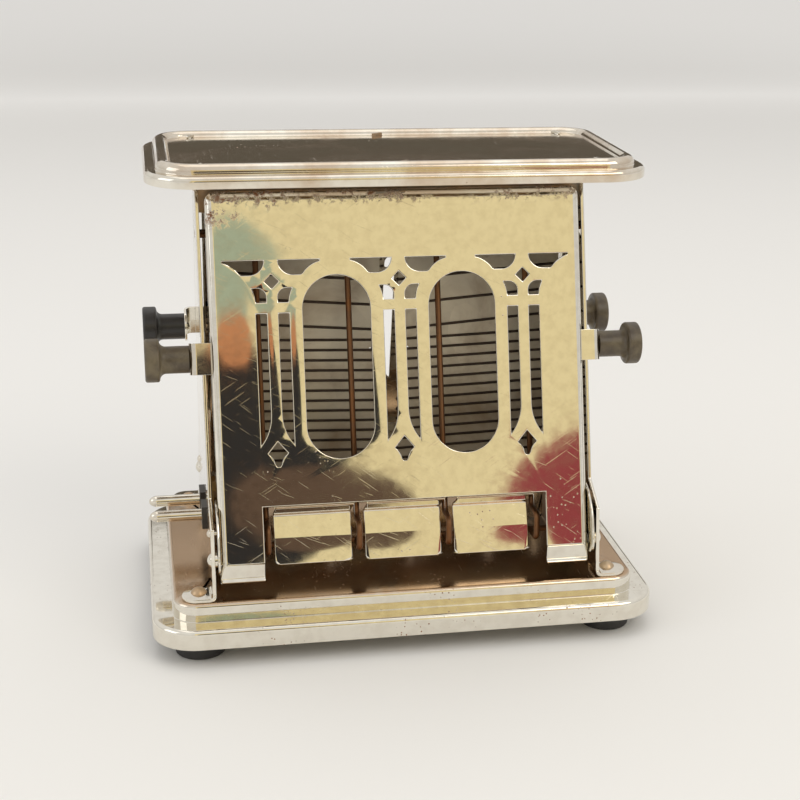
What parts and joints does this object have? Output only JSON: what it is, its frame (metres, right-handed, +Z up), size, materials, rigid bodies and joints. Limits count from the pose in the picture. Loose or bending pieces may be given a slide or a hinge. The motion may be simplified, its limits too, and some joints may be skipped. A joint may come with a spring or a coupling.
{
  "type": "drop side toaster",
  "caption": "Vintage toaster with pierced drop-down doors on low hinges, turned knobs, wire bread guards and an upright ribbon-wound mica element under a flat cover.",
  "frame": {"origin": "middle of the base on the table, at the bottom of the feet", "axes": "+X to the right along the doors, -Y towards the front door, +Z up"},
  "size_m": [0.205, 0.1398, 0.1929],
  "materials": {
    "tray_chrome": "aged chrome over pressed steel with brown tarnish on the plateau",
    "foot_black": "black moulded foot, worn matt",
    "rivet_brown": "domed rivets, plating worn to brown",
    "washer_steel": "plain zinc",
    "plate_chrome": "aged chrome end plates",
    "cover_chrome": "chrome top cover with fine scratches",
    "inner_steel": "bare inner steel, heat-dulled",
    "mica": "mottled silvery brown mica sheet",
    "ribbon": "oxidised resistance ribbon",
    "lead_brass": "tarnished brass strips and nuts",
    "wire_rust": "plated wire turned rusty copper brown",
    "pin_steel": "bright plated pins and studs",
    "insulator": "dark moulded insulating washers",
    "door_chrome": "aged chrome with scratches and rust along the top roll",
    "knob_brown": "turned and faded brown phenolic",
    "knob_black": "turned black phenolic"
  },
  "bodies": {
    "frame": {"base_tray": "tray_chrome", "feet": "foot_black", "foot_rivets": "rivet_brown", "foot_washers": "washer_steel", "end_plate_left": "plate_chrome", "end_plate_right": "plate_chrome", "top_cover": "cover_chrome", "top_rail": "inner_steel", "cross_strap": "inner_steel", "rail_rivets": "inner_steel", "lower_strap": "inner_steel", "strap_rivets": "inner_steel", "card_clips": "inner_steel", "mica_card_left": "mica", "mica_card_right": "mica", "winding_left": "ribbon", "winding_right": "ribbon", "jumper_strip": "lead_brass", "lead_strip": "lead_brass", "return_strip": "lead_brass", "guard_front": "wire_rust", "guard_rear": "wire_rust", "hinge_pins": "pin_steel", "stop_studs": "pin_steel", "plug_pins": "pin_steel", "pin_insulators": "insulator", "pin_nuts": "lead_brass"},
    "front_door": {"door_front": "door_chrome", "hinge_ears_front": "plate_chrome", "knob_strap_front_left": "plate_chrome", "knob_strap_front_right": "plate_chrome", "knob_front_left": "knob_brown", "knob_front_right": "knob_brown", "knob_screws_front": "pin_steel"},
    "rear_door": {"door_rear": "door_chrome", "hinge_ears_rear": "plate_chrome", "knob_strap_rear_left": "plate_chrome", "knob_strap_rear_right": "plate_chrome", "knob_rear_left": "knob_black", "knob_rear_right": "knob_brown", "knob_screws_rear": "pin_steel"}
  },
  "joints": [
    {"name": "front_door_hinge", "type": "hinge", "parent": "frame", "child": "front_door", "pos_m": [0, -0.05386, 0.03905], "axis": [1, 0, 0], "range_deg": [0, 105]},
    {"name": "rear_door_hinge", "type": "hinge", "parent": "frame", "child": "rear_door", "pos_m": [0, 0.05386, 0.03905], "axis": [-1, 0, 0], "range_deg": [0, 105]}
  ]
}
